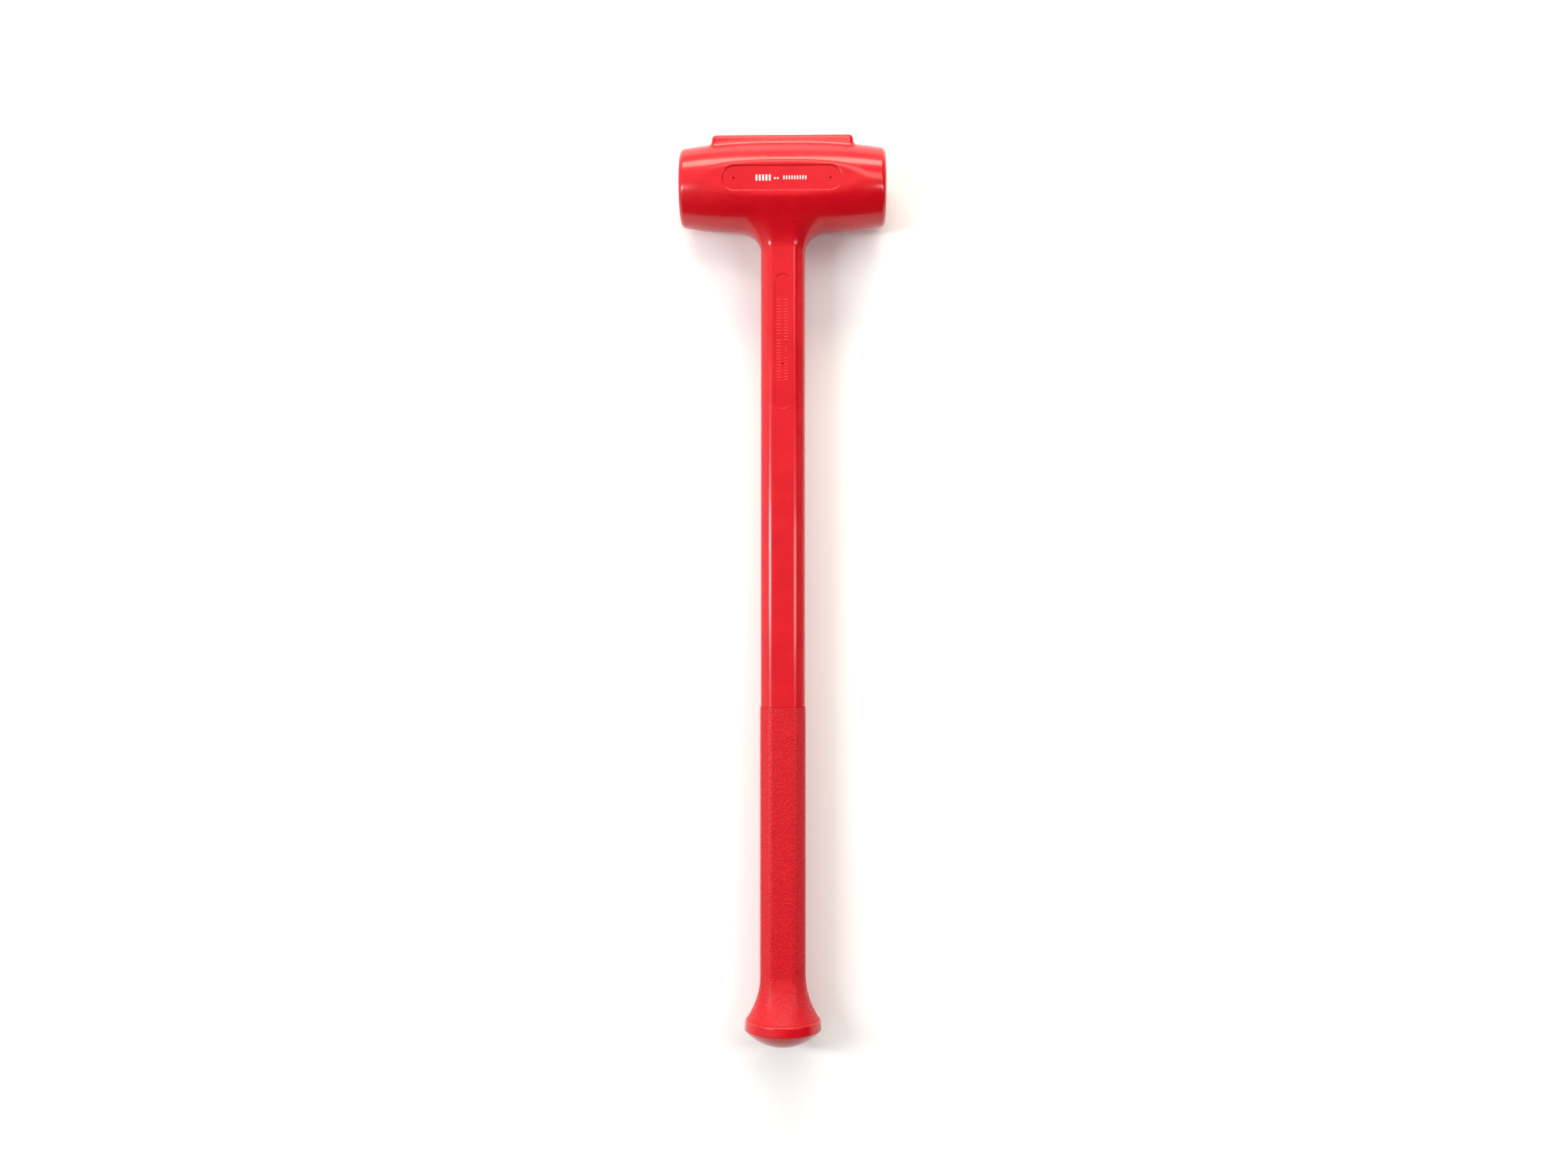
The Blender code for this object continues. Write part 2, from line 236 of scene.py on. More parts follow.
def stand_distance(x, y, z):
    """A rounded block on the barrel, slightly wider at its foot."""
    lean = STAND_DRAFT * (stand_top - y)
    across = np.abs(x) - STAND_HALF_LENGTH - lean + STAND_EDGE
    deep = np.abs(z) - STAND_HALF_WIDTH - lean + STAND_EDGE
    up = y - stand_top + STAND_EDGE
    inside = np.minimum(np.maximum(np.maximum(across, deep), up), 0)
    outside = np.sqrt(sum(np.maximum(q, 0) ** 2 for q in (across, deep, up)))
    return np.maximum(inside + outside - STAND_EDGE, STAND_FOOT - y)


# %% The handle's eight-sided section
SHAFT_HALF_WIDTH, SHAFT_HALF_DEPTH, SHAFT_FACET, SHAFT_CORNER = 0.0222, 0.0200, 0.0092, 0.0080
NECK_FILLET = 0.0220
bite = SHAFT_FACET + SHAFT_CORNER * math.tan(math.radians(22.5))
section_side = (SHAFT_HALF_WIDTH - SHAFT_CORNER, SHAFT_HALF_DEPTH - bite)
section_top = (SHAFT_HALF_WIDTH - bite, SHAFT_HALF_DEPTH - SHAFT_CORNER)


def segment_distance(x, z, start, end):
    dx, dz = end[0] - start[0], end[1] - start[1]
    t = np.clip(((x - start[0]) * dx + (z - start[1]) * dz) / (dx * dx + dz * dz), 0, 1)
    return np.hypot(x - start[0] - t * dx, z - start[1] - t * dz)


def section_distance(x, z):
    """Distance to the section's outline: an inner octagon, grown by the corner radius."""
    x, z = np.abs(x), np.abs(z)
    (side_x, side_z), top_z = section_side, section_top[1]
    planes = np.maximum(np.maximum(x - side_x, z - top_z),
                        (x + z - side_x - side_z) / math.sqrt(2))
    edges = [segment_distance(x, z, (side_x, 0), section_side),
             segment_distance(x, z, section_side, section_top),
             segment_distance(x, z, section_top, (0, top_z))]
    nearest = np.minimum(np.minimum(edges[0], edges[1]), edges[2])
    return np.where(planes > 0, nearest, np.maximum(planes, -nearest)) - SHAFT_CORNER


def skin_distance(x, y, z):
    """The whole skin, measured from the head's centre."""
    body = filleted_join(barrel_distance(x, y, z), stand_distance(x, y, z), STAND_FILLET)
    return filleted_join(body, np.maximum(section_distance(x, z), y), NECK_FILLET)


# %% [markdown]
# ## From a formula to a mesh
# Space is split into small cells. A cell that the surface passes through gets one point, and four
# points round each crossed cell edge make a quad: this is called a surface net. The points are then
# eased towards their neighbours and slid back along the slope of the formula, so they end exactly on
# the surface and evenly spread, and the long highlights stay clean.

# %% Surface net
def surface_net(distance, low, high, cell):
    """Points and quads of the surface where distance is zero, inside the given box."""
    counts = [math.ceil((b - a) / cell) + 1 for a, b in zip(low, high)]
    grid = np.meshgrid(*[a + cell * np.arange(n) for a, n in zip(low, counts)], indexing="ij")
    inside = distance(*grid) < 0
    filled = sum(inside[tuple(slice(s, n - 1 + s) for s, n in zip(shift, counts))].astype(np.int8)
                 for shift in product((0, 1), repeat=3))
    crossed = (filled > 0) & (filled < 8)
    number = np.full(crossed.shape, -1)
    number[crossed] = np.arange(crossed.sum())
    points = (np.argwhere(crossed) + 0.5) * cell + np.array(low)
    quads = []
    for axis in range(3):
        solid = np.moveaxis(inside, axis, 0)
        cells = np.moveaxis(number, axis, 0)
        changes = (solid[:-1] != solid[1:])[:, 1:-1, 1:-1]
        ring = np.stack([cells[:, :-1, :-1], cells[:, 1:, :-1], cells[:, 1:, 1:], cells[:, :-1, 1:]], -1)
        loops = ring[changes]
        turn = solid[1:][:, 1:-1, 1:-1][changes] != (axis == 1)
        loops[turn] = loops[turn][:, ::-1]
        quads.append(loops)
    return points, np.concatenate(quads)


def settle(distance, points, reach):
    """Moves points along the slope of the formula until they lie on its surface."""
    step = 2e-5
    for _ in range(3):
        value = distance(*points.T)
        slope = np.stack([distance(*(points + nudge).T) - distance(*(points - nudge).T)
                          for nudge in np.eye(3) * step], -1) / (2 * step)
        move = slope * (value / np.maximum((slope ** 2).sum(-1), 0.2))[:, None]
        size = np.linalg.norm(move, axis=-1, keepdims=True)
        points = points - move * np.minimum(1, reach / np.maximum(size, 1e-12))
    return points


def ease(points, quads):
    """Each point goes to the mean of the quads round it."""
    centres = points[quads].mean(axis=1)
    used = np.bincount(quads.ravel(), minlength=len(points))
    total = [np.bincount(quads.ravel(), np.repeat(centres[:, i], 4), len(points)) for i in range(3)]
    return np.stack(total, -1) / np.maximum(used, 1)[:, None]


# %% Mesh of the skin
CELL = 0.00100
NECK_END = 0.078
points, quads = surface_net(skin_distance, (-half_length - 0.002, -NECK_END, -flat_depth - 0.002),
                            (half_length + 0.002, stand_top + 0.002, flat_depth + 0.002), CELL)
points = settle(skin_distance, points, CELL)
for _ in range(4):
    points = settle(skin_distance, ease(points, quads), CELL)
print("skin net:", len(points), "points,", len(quads), "quads")


# %% [markdown]
# ## The handle below the neck
# From the neck down the section never changes, so cells would be wasted on it. The open edge of the net
# is put on one level and extruded down to the grip in steps, then closed. The steps stay a few
# millimetres long so that the mesh has no very thin faces.

# %% Extruded handle
def new_object(name, mesh):
    obj = bpy.data.objects.new(name, mesh)
    bpy.context.scene.collection.objects.link(obj)
    return obj


def mesh_from(bm, name, angle=35):
    mesh = bpy.data.meshes.new(name)
    bm.to_mesh(mesh)
    bm.free()
    mesh.shade_smooth()
    mesh.set_sharp_from_angle(angle=math.radians(angle))
    return mesh


mesh = bpy.data.meshes.new("skin_net")
mesh.from_pydata((points + np.array(head)).tolist(), [], quads.tolist())
bm = bmesh.new()
bm.from_mesh(mesh)
bpy.data.meshes.remove(mesh)
edge = [e for e in bm.edges if e.is_boundary]
level = head.y - NECK_END
for vert in {v for e in edge for v in e.verts}:
    vert.co.y = level
STEPS = 40
for step in range(STEPS):
    made = bmesh.ops.extrude_edge_only(bm, edges=edge)["geom"]
    edge = [e for e in made if isinstance(e, bmesh.types.BMEdge)]
    for vert in {v for e in edge for v in e.verts}:
        vert.co.y = level + (skin_low.y - level) * (step + 1) / STEPS
bmesh.ops.edgeloop_fill(bm, edges=edge)
bmesh.ops.recalc_face_normals(bm, faces=bm.faces)
open_edges = sum(e.is_boundary for e in bm.edges)
skin = new_object("urethane_skin", mesh_from(bm, "urethane_skin"))
print("skin:", len(skin.data.polygons), "faces,", open_edges, "open edges")


# %% [markdown]
# ## Recesses, pin marks and the room inside
# The label panels in the two flats and the slot in the handle have crisp rims, sharper than the net's
# cells could show, so they are cut with Booleans. Each cutter is a stadium whose wall leans out and
# rolls over into a small lip where it meets the surface. The little round holes are where pins held
# the steel in the mould. Last comes the room that the steel fills.

# %% Closed bodies for cutting
def add_loft(bm, rings):
    """Adds a closed body through rings of equal point counts."""
    loops = [[bm.verts.new(point) for point in ring] for ring in rings]
    made = []
    for near, far in zip(loops, loops[1:]):
        made += [bm.faces.new((near[i - 1], near[i], far[i], far[i - 1])) for i in range(len(near))]
    made += [bm.faces.new(loops[0]), bm.faces.new(loops[-1][::-1])]
    bmesh.ops.recalc_face_normals(bm, faces=made)


def turned_rings(profile, axis, steps):
    """Rings of a body of revolution about X or Y through the head's centre, from (radius, distance)."""
    rings = []
    for radius, distance in profile:
        angles = [math.tau * i / steps for i in range(steps)]
        if axis == "X":
            rings.append([(head.x + distance, head.y + radius * math.cos(a), head.z + radius * math.sin(a))
                          for a in angles])
        else:
            rings.append([(head.x + radius * math.sin(a), head.y + distance, head.z + radius * math.cos(a))
                          for a in angles])
    return rings


RECESS_STEPS = 48


def add_recess(bm, along, centre, length, width, facing, surface, sink, lip):
    """A stadium along X or Y, from its floor up through its lip and out past the surface."""
    reach = (length - width) / 2
    profile = [(-lip * 1.2, -sink)]
    profile += [(lip * math.cos(a), lip * (math.sin(a) - 1)) for a in np.radians((168, 146, 122, 98))]
    profile.append((lip * 0.3, sink * 2))
    rings = []
    for offset, height in profile:
        ring = []
        for i in range(RECESS_STEPS):
            a = math.tau * (i + 0.5) / RECESS_STEPS
            u = math.copysign(reach, math.cos(a)) + (width / 2 + offset) * math.cos(a)
            v = (width / 2 + offset) * math.sin(a)
            u, v = (u, v) if along == "X" else (-v, u)
            ring.append((head.x + centre[0] + u, head.y + centre[1] + v,
                         head.z + facing * (surface + height)))
        rings.append(ring)
    add_loft(bm, rings)


def cutter_from(bm, name):
    cutter = new_object(name, mesh_from(bm, name))
    cutter.hide_render = True
    return cutter


def bake(obj):
    """Replaces an object's mesh by what its modifiers make of it, and removes them."""
    evaluated = obj.evaluated_get(bpy.context.evaluated_depsgraph_get())
    mesh = bpy.data.meshes.new_from_object(evaluated)
    mesh.name = obj.name
    obj.modifiers.clear()
    old, obj.data = obj.data, mesh
    bpy.data.meshes.remove(old)


def carve(obj, cutter):
    cut = obj.modifiers.new("cut", "BOOLEAN")
    cut.operation, cut.solver, cut.object = "DIFFERENCE", "EXACT", cutter
    bake(obj)
    bpy.data.meshes.remove(cutter.data)


# %% Cut the recesses and the canister's room
GAP = 0.0003
PANEL_LENGTH, PANEL_WIDTH, PANEL_SINK, PANEL_LIP = 0.1200, 0.0262, 0.0010, 0.0010
SLOT_START, SLOT_END, SLOT_WIDTH, SLOT_SINK, SLOT_LIP = 0.0905, 0.2266, 0.0164, 0.0006, 0.0004
pipe_radius = (pipe_high.z - pipe_low.z) / 2
pipe_half = (pipe_high.x - pipe_low.x) / 2

bm = bmesh.new()
for facing in (1, -1):
    add_recess(bm, "X", (0, 0), PANEL_LENGTH, PANEL_WIDTH, facing, flat_depth, PANEL_SINK, PANEL_LIP)
add_recess(bm, "Y", (0, -(SLOT_START + SLOT_END) / 2), SLOT_END - SLOT_START, SLOT_WIDTH, 1,
           SHAFT_HALF_DEPTH, SLOT_SINK, SLOT_LIP)
room = [(pipe_radius + GAP, -pipe_half - GAP), (pipe_radius + GAP, pipe_half + GAP)]
add_loft(bm, turned_rings(room, "X", 96))
carve(skin, cutter_from(bm, "recess_cutter"))
print("after the recesses:", len(skin.data.polygons), "faces")

# %% Cut the pin marks and the room for tube and collar
PIN_RADIUS, PIN_DEPTH, PIN_STEPS = 0.0007, 0.0050, 16
HEAD_PIN, SHAFT_PIN = 0.0481, 0.1812


def add_pin_mark(bm, x, y, facing, surface):
    """A round hole that widens a little at its mouth."""
    profile = [(PIN_RADIUS * 0.8, -PIN_DEPTH), (PIN_RADIUS, -0.0004), (PIN_RADIUS * 1.7, 0.0004)]
    angles = [math.tau * i / PIN_STEPS for i in range(PIN_STEPS)]
    add_loft(bm, [[(head.x + x + r * math.cos(a), head.y + y + r * math.sin(a),
                    head.z + facing * (surface + h)) for a in angles] for r, h in profile])


tube_low, tube_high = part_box("handle_tube")
collar_low, collar_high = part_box("neck_collar")
tube_radius = (tube_high.x - tube_low.x) / 2
collar_radius = (collar_high.x - collar_low.x) / 2
collar_end = collar_low.y - head.y

bm = bmesh.new()
for facing in (1, -1):
    for side in (1, -1):
        add_pin_mark(bm, side * HEAD_PIN, 0, facing, flat_depth - PANEL_SINK)
add_pin_mark(bm, 0, -SHAFT_PIN, 1, SHAFT_HALF_DEPTH - SLOT_SINK)
add_pin_mark(bm, 0, -SHAFT_PIN, -1, SHAFT_HALF_DEPTH)
inner = [(collar_radius + GAP, -0.02), (collar_radius + GAP, collar_end - GAP),
         (tube_radius + GAP, collar_end - GAP), (tube_radius + GAP, -shaft_end - 0.01)]
add_loft(bm, turned_rings(inner, "Y", 64))
carve(skin, cutter_from(bm, "pin_cutter"))
skin.data.shade_smooth()
skin.data.set_sharp_from_angle(angle=math.radians(32))
print("skin finished:", sum(len(p.vertices) - 2 for p in skin.data.polygons), "triangles")

# %% [markdown]
# ## The grip
# The lower handle is covered in fine pebbles, like grained leather, and opens in an arc to meet the
# pommel. Its plain form is a loft: the handle's own section, grown outwards, whose facets fade into a
# circle. The pebbles are then raised by Geometry Nodes, from a cell pattern that follows the surface.

# %% Plain form of the grip
GRIP_PROUD = 0.0004
GRAIN_FADE = 0.0012  # the pebbles grow to full height over this length at each end
FLARE_START, FLARE_RADIUS = 0.7931, 0.0800
ROUND, ALONG = ((224, 408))
grip_start = head.y - grip_high.y
grip_end = head.y - cap_high.y - 0.0001  # up to the pommel's shoulder


def section_points(count, proud):
    """Evenly spaced points of the handle's section with their outward directions."""
    fine = []
    for i in range(720):
        a = math.tau * i / 720
        ray = np.array((math.cos(a), math.sin(a)))
        near, far = 0.0, 0.05
        for _ in range(24):
            middle = (near + far) / 2
            if section_distance(*(ray * middle)) < proud:
                near = middle
            else:
                far = middle
        fine.append(ray * near)
    fine = np.array(fine)
    steps = np.linalg.norm(np.roll(fine, -1, 0) - fine, axis=1)
    travelled = np.concatenate(([0], np.cumsum(steps)))
    places = np.arange(count) / count * travelled[-1]
    closed = np.vstack((fine, fine[:1]))
    points = np.stack([np.interp(places, travelled, closed[:, i]) for i in (0, 1)], -1)
    nudge = 1e-5
    normals = np.stack([section_distance(points[:, 0] + dx, points[:, 1] + dz)
                        - section_distance(points[:, 0] - dx, points[:, 1] - dz)
                        for dx, dz in ((nudge, 0), (0, nudge))], -1)
    return points, normals / np.linalg.norm(normals, axis=1, keepdims=True)


section, outward = section_points(ROUND, GRIP_PROUD)
rings, grain = [], []
for step in range(ALONG + 1):
    drop = grip_start + (grip_end - grip_start) * step / ALONG
    past = max(0.0, drop - FLARE_START)
    offset = FLARE_RADIUS - math.sqrt(FLARE_RADIUS ** 2 - past ** 2)
    share = min(1.0, past / (grip_end - FLARE_START))
    fade = share * share * (3 - 2 * share)
    ring = section + outward * offset
    circle = ring * ((SHAFT_HALF_WIDTH + GRIP_PROUD + offset) / np.linalg.norm(ring, axis=1))[:, None]
    ring = ring * (1 - fade) + circle * fade
    rings.append([(head.x + u, head.y - drop, head.z + v) for u, v in ring])
    grain.append(min(1.0, (drop - grip_start) / GRAIN_FADE, (grip_end - drop) / GRAIN_FADE))
angles = np.arctan2(section[:, 1], section[:, 0])
for drop in (grip_end, grip_start):
    rings.append([(head.x + (tube_radius + GAP) * math.cos(a), head.y - drop,
                   head.z + (tube_radius + GAP) * math.sin(a)) for a in angles])
    grain.append(0.0)

bm = bmesh.new()
amount = bm.verts.layers.float.new("grain")
loops = []
for ring, value in zip(rings, grain):
    loops.append([bm.verts.new(point) for point in ring])
    for vert in loops[-1]:
        vert[amount] = value
for near, far in zip(loops, loops[1:] + loops[:1]):
    for i in range(ROUND):
        bm.faces.new((near[i - 1], near[i], far[i], far[i - 1]))
bmesh.ops.recalc_face_normals(bm, faces=bm.faces)
grip = new_object("grained_grip", mesh_from(bm, "grained_grip", 50))
print("grip:", len(grip.data.polygons), "faces")

# %% [markdown]
# A cell texture (Voronoi) measures how far a point is from the nearest of many scattered centres. Close
# to a centre the surface is lifted and far from it it stays down, which gives rounded pebbles. A little
# noise bends the pattern first, so that the pebbles run together here and there as in real moulding.

# %% Helpers for Geometry Nodes
def new_tree(name, inputs):
    """An empty geometry tree with named inputs, and its input and output nodes."""
    tree = bpy.data.node_groups.new(name, "GeometryNodeTree")
    tree.interface.new_socket("Geometry", in_out="INPUT", socket_type="NodeSocketGeometry")
    for label, kind in inputs:
        tree.interface.new_socket(label, in_out="INPUT", socket_type=kind)
    tree.interface.new_socket("Geometry", in_out="OUTPUT", socket_type="NodeSocketGeometry")
    return tree, tree.nodes.new("NodeGroupInput"), tree.nodes.new("NodeGroupOutput")


def finish_tree(tree, geometry, given, out):
    """Every tree ends the same way: real geometry, then its material."""
    real = add_node(tree, "GeometryNodeRealizeInstances", {0: geometry})
    painted = add_node(tree, "GeometryNodeSetMaterial",
                       {0: real.outputs[0], "Material": given.outputs["Material"]})
    tree.links.new(painted.outputs[0], out.inputs[0])


def run_tree(obj, tree, **values):
    """Adds the tree as a modifier, sets its inputs by their identifiers and bakes the result."""
    modifier = obj.modifiers.new(tree.name, "NODES")
    modifier.node_group = tree
    for item in tree.interface.items_tree:
        key = item.name.replace(" ", "_").lower()
        if item.in_out == "INPUT" and key in values:
            modifier[item.identifier] = values[key]
    bake(obj)


def pebble_pattern(tree, place, size, wander):
    """One at the top of each pebble and zero between them. The mesh and the finish both use it."""
    bend = add_node(tree, "ShaderNodeTexNoise", {"Vector": place, "Scale": 320.0, "Detail": 1.0})
    drift = add_node(tree, "ShaderNodeVectorMath", {0: bend.outputs["Color"], 1: (0.5, 0.5, 0.5)},
                     operation="SUBTRACT")
    moved = add_node(tree, "ShaderNodeVectorMath", {0: drift.outputs[0], "Scale": wander}, operation="SCALE")
    bent = add_node(tree, "ShaderNodeVectorMath", {0: place, 1: moved.outputs[0]}, operation="ADD")
    cells = add_node(tree, "ShaderNodeTexVoronoi", {"Vector": bent.outputs[0], "Randomness": 0.60,
                                                    "Scale": math_node(tree, "DIVIDE", 1.0, size)})
    return remap(tree, cells.outputs["Distance"], 0.12, 0.72, 1.0, 0.0)


# %% Pebble tree
tree, given, out = new_tree("raise_pebbles",
                            [("Pebble Size", "NodeSocketFloat"), ("Pebble Height", "NodeSocketFloat"),
                             ("Wander", "NodeSocketFloat"), ("Material", "NodeSocketMaterial")])
place = add_node(tree, "GeometryNodeInputPosition").outputs[0]
dome = pebble_pattern(tree, place, given.outputs["Pebble Size"], given.outputs["Wander"])
mask = add_node(tree, "GeometryNodeInputNamedAttribute", {"Name": "grain"}, data_type="FLOAT").outputs[0]
lift = math_node(tree, "MULTIPLY", math_node(tree, "MULTIPLY", dome, mask), given.outputs["Pebble Height"])
normal = add_node(tree, "GeometryNodeInputNormal").outputs[0]
offset = add_node(tree, "ShaderNodeVectorMath", {0: normal, "Scale": lift}, operation="SCALE")
raised = add_node(tree, "GeometryNodeSetPosition", {0: given.outputs[0], "Offset": offset.outputs[0]})
finish_tree(tree, raised.outputs[0], given, out)
pebble_tree = tree
print("pebble tree:", len(tree.nodes), "nodes")

# %% [markdown]
# ## The pommel
# The end cap is smooth and turned: a rounded shoulder, a slightly conical band, a crisp lower edge and a
# shallow dome that the hammer can be stood on. It is spun from its outline, with the socket inside that
# the tube and its anchor flange fill.

# %% Turned pommel
def arc(centre, radius, start, end, steps):
    angles = np.radians(np.linspace(start, end, steps + 1))
    return [(centre[0] + radius * math.cos(a), centre[1] + radius * math.sin(a)) for a in angles]


plug_low, plug_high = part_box("anchor_plug")
plug_radius = (plug_high.x - plug_low.x) / 2 + GAP
band_start, pommel_end = head.y - cap_high.y, head.y - cap_low.y
band_radius = (cap_high.x - cap_low.x) / 2
BAND_END, BAND_TAPER, SHOULDER, BAND_EDGE = 0.8489, 0.0007, 0.0024, 0.0009
tube_end = head.y - tube_low.y
socket_floor = head.y - plug_low.y + GAP
bore = tube_radius + GAP

outline = [(0.0005, -socket_floor), (plug_radius, -socket_floor), (plug_radius, -tube_end),
           (bore, -tube_end), (bore, -band_start)]
outline += arc((band_radius - BAND_TAPER - SHOULDER, -band_start - SHOULDER), SHOULDER, 90, 0, 8)
outline += arc((band_radius - BAND_EDGE, -BAND_END + BAND_EDGE), BAND_EDGE, 4, -42, 5)
rim = outline[-1][0]
crown = pommel_end + outline[-1][1]
sphere = (rim ** 2 + crown ** 2) / (2 * crown)
outline += [(rim * s, -pommel_end + sphere - math.sqrt(sphere ** 2 - (rim * s) ** 2))
            for s in np.cos(np.radians(np.linspace(8, 89.5, 22)))]
bm = bmesh.new()
add_loft(bm, turned_rings(outline, "Y", 160))
pommel = new_object("smooth_pommel", mesh_from(bm, "smooth_pommel", 30))
print("pommel:", len(pommel.data.polygons), "faces")

# %% [markdown]
# ## Marks on the skin
# White bars are pad-printed in the front panel, and two rows of plain raised strokes stand in the slot
# of the handle. Both are many copies of one small bar with different sizes, so they are points that carry
# their own size, and a Geometry Nodes tree puts the same rounded bar on each. The bars say nothing:
# they are a tally, and the solid squares beside it are a simple ornament.

# %% Where the marks go
panel_floor = flat_depth - PANEL_SINK
slot_floor = SHAFT_HALF_DEPTH - SLOT_SINK
PRINT_THICK, PRINT_SINK = 0.00012, 0.0002
STROKE_HEIGHT, STROKE_SINK = 0.00042, 0.0003


def print_rows():
    """Centres and sizes of the printed bars: a bold group, then a finer one."""
    rows = [(-0.0252 + 0.0033 * i, 0.0, 0.0019, 0.0066) for i in range(5)]
    rows += [(-0.0070 + 0.0030 * i, -0.0006, 0.0019, 0.0019) for i in range(2)]
    rows += [(0.0020 + 0.0027 * i, 0.0, 0.0013, 0.0042) for i in range(9)]
    return rows


def stroke_rows():
    """Raised strokes in two rows along the slot, with a gap after each group."""
    rows = []
    for side, groups in ((1, (7, 0, 4)), (-1, (6, 7))):
        drop = 0.1170
        for group in groups:
            if group == 0:
                rows.append((side * 0.0036, -drop - 0.0032, 0.0008, 0.0060))
                drop += 0.0116
                continue
            for i in range(2 * group):
                rows.append((side * 0.0036, -drop, 0.0036 if i % 2 else 0.0050, 0.0011))
                drop += 0.0031
            drop += 0.0038
    return rows


def marks_from(name, rows, surface):
    """A mesh of loose points with the size of each bar as an attribute."""
    mesh = bpy.data.meshes.new(name)
    mesh.from_pydata([(head.x + x, head.y + y, head.z + surface) for x, y, *_ in rows], [], [])
    sizes = mesh.attributes.new("bar_size", "FLOAT_VECTOR", "POINT")
    for i, (*_, wide, tall) in enumerate(rows):
        sizes.data[i].vector = (wide, tall, 1.0)
    return new_object(name, mesh)


printed = marks_from("printed_bars", print_rows(), panel_floor)
strokes = marks_from("raised_strokes", stroke_rows(), slot_floor)
print("marks:", len(printed.data.vertices), "printed,", len(strokes.data.vertices), "raised")

# %% Bar tree
tree, given, out = new_tree("place_bars", [("Height", "NodeSocketFloat"), ("Sink", "NodeSocketFloat"),
                                           ("Material", "NodeSocketMaterial")])
bar = add_node(tree, "GeometryNodeMeshCylinder", {"Vertices": 20, "Radius": 0.62, "Depth": 1.0})
spot = add_node(tree, "GeometryNodeInputPosition").outputs[0]
parts = add_node(tree, "ShaderNodeSeparateXYZ", {0: spot})
square = [math_node(tree, "MINIMUM", math_node(tree, "MAXIMUM", parts.outputs[i], -0.5), 0.5)
          for i in (0, 1)]
top = math_node(tree, "GREATER_THAN", parts.outputs[2], 0.0)
inset = math_node(tree, "SUBTRACT", 1.0, math_node(tree, "MULTIPLY", top, 0.12))
shaped = add_node(tree, "ShaderNodeCombineXYZ", {0: math_node(tree, "MULTIPLY", square[0], inset),
                                                 1: math_node(tree, "MULTIPLY", square[1], inset),
                                                 2: parts.outputs[2]})
bar_form = add_node(tree, "GeometryNodeSetPosition",
                    {0: bar.outputs["Mesh"], "Position": shaped.outputs[0]})
spread = add_node(tree, "GeometryNodeInputNamedAttribute", {"Name": "bar_size"},
                  data_type="FLOAT_VECTOR")
plan = add_node(tree, "ShaderNodeSeparateXYZ", {0: spread.outputs[0]})
thick = math_node(tree, "ADD", given.outputs["Height"], given.outputs["Sink"])
full = add_node(tree, "ShaderNodeCombineXYZ", {0: plan.outputs[0], 1: plan.outputs[1], 2: thick})
proud = math_node(tree, "SUBTRACT", given.outputs["Height"], given.outputs["Sink"])
rise = math_node(tree, "DIVIDE", proud, 2.0)
raised = add_node(tree, "ShaderNodeCombineXYZ", {2: rise})
moved = add_node(tree, "GeometryNodeSetPosition", {0: given.outputs[0], "Offset": raised.outputs[0]})
spots = add_node(tree, "GeometryNodeMeshToPoints", {0: moved.outputs[0]})
placed = add_node(tree, "GeometryNodeInstanceOnPoints", {"Points": spots.outputs[0],
                                                         "Instance": bar_form.outputs[0],
                                                         "Scale": full.outputs[0]})
finish_tree(tree, placed.outputs[0], given, out)
bar_tree = tree
print("bar tree:", len(tree.nodes), "nodes")

# %% [markdown]
# ## The shot
# Inside the canister lies a bed of steel balls, about 5 mm across. Laying every ball by simulation would
# cost minutes, and nobody sees more than the bed's surface, so the balls sit in close-packed layers that
# are nudged a little off their places. Only balls inside the charge's own outline are kept, so the bed
# has the level top and the sloping ends that settled shot has. The balls hold about half as much steel
# as the solid that stands for them.

# %% Bed of balls
BALL_RADIUS, BALL_JITTER = 0.0024, 0.00005
BALL_SPACING = 2.04  # ball radii from centre to centre
shot_low, shot_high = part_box("shot_charge")
charge = nodes["shot_charge"]
charge_bm = bmesh.new()
charge_bm.from_mesh(charge.data)
charge_tree = BVHTree.FromBMesh(charge_bm)
charge_bm.free()


def deep_enough(point, reach):
    """True where a ball of this radius fits inside the charge."""
    near, facing, _, distance = charge_tree.find_nearest(point)
    return (near - point).dot(facing) > 0 and distance >= reach


rng = np.random.default_rng(7)
pitch = BALL_RADIUS * BALL_SPACING
centres = []
layer = 0
z = shot_low.z + BALL_RADIUS
while z < shot_high.z - BALL_RADIUS * 0.9:
    row = 0
    y = shot_low.y + BALL_RADIUS + (layer % 2) * pitch * math.sqrt(3) / 6
    while y < shot_high.y - BALL_RADIUS * 0.9:
        x = shot_low.x + BALL_RADIUS + (row % 2) * pitch / 2 + (layer % 2) * pitch / 2
        while x < shot_high.x - BALL_RADIUS * 0.9:
            jitter = rng.uniform(-1, 1, 3) * BALL_JITTER
            point = Vector((x, y, z)) + Vector(jitter)
            if deep_enough(point, BALL_RADIUS):
                centres.append(tuple(point))
            x += pitch
        y += pitch * math.sqrt(3) / 2
        row += 1
    z += pitch * math.sqrt(2 / 3)
    layer += 1
shot_mesh = bpy.data.meshes.new("steel_shot")
shot_mesh.from_pydata(centres, [], [])
shot = new_object("steel_shot", shot_mesh)
print("shot:", len(centres), "balls")

